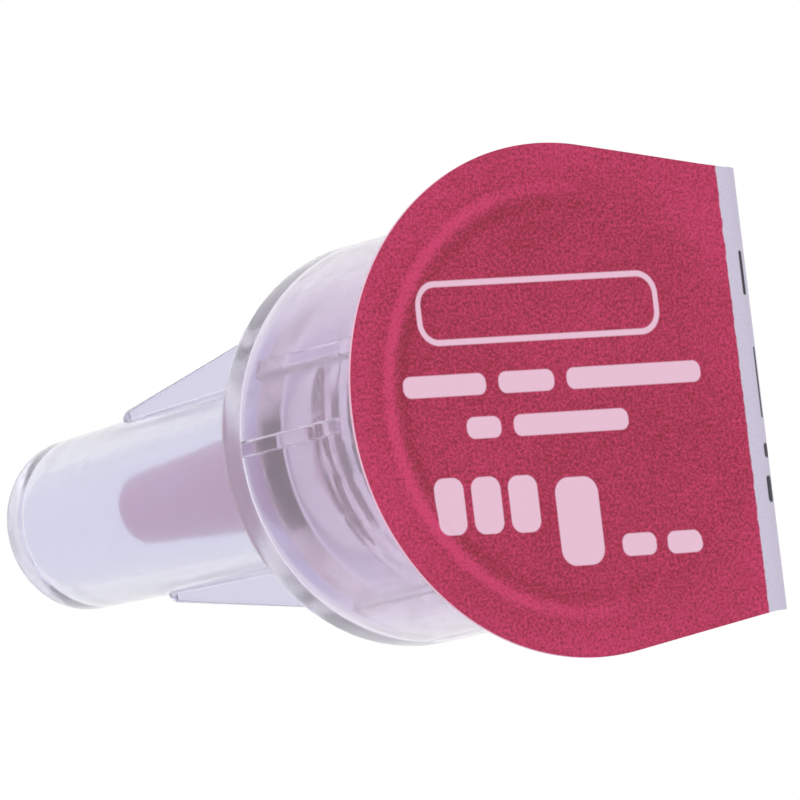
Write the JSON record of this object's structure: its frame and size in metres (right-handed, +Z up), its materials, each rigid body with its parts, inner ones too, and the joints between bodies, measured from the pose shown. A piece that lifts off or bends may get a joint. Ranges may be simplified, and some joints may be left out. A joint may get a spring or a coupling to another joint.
{
  "type": "pen needle",
  "caption": "Sealed disposable needle for an injection pen: a translucent outer container holds a capped, threaded needle hub, and a peel-off paper label closes its mouth.",
  "frame": {"origin": "centre of the peel label's outer face, which closes the container's mouth and which the part stands on", "axes": "+Z up the container's axis from the mouth to the closed tip; +Y and -Y through the two fins; the label's tab is folded up on the +X side"},
  "size_m": [0.0182, 0.0172, 0.0324],
  "materials": {
    "clear_polypropylene": "translucent, smooth moulded",
    "natural_polypropylene": "milky, smooth moulded",
    "pink_polyethylene": "tinted, smooth moulded",
    "label_paper": "printed crimson outside with a white edge, white inside",
    "needle_steel": "drawn and ground stainless steel",
    "cured_adhesive": "clear, domed"
  },
  "bodies": {
    "root": {"outer_container": "clear_polypropylene", "peel_label": "label_paper", "hub": "natural_polypropylene", "cannula": "needle_steel", "adhesive_bead": "cured_adhesive", "inner_shield": "pink_polyethylene"}
  },
  "joints": []
}
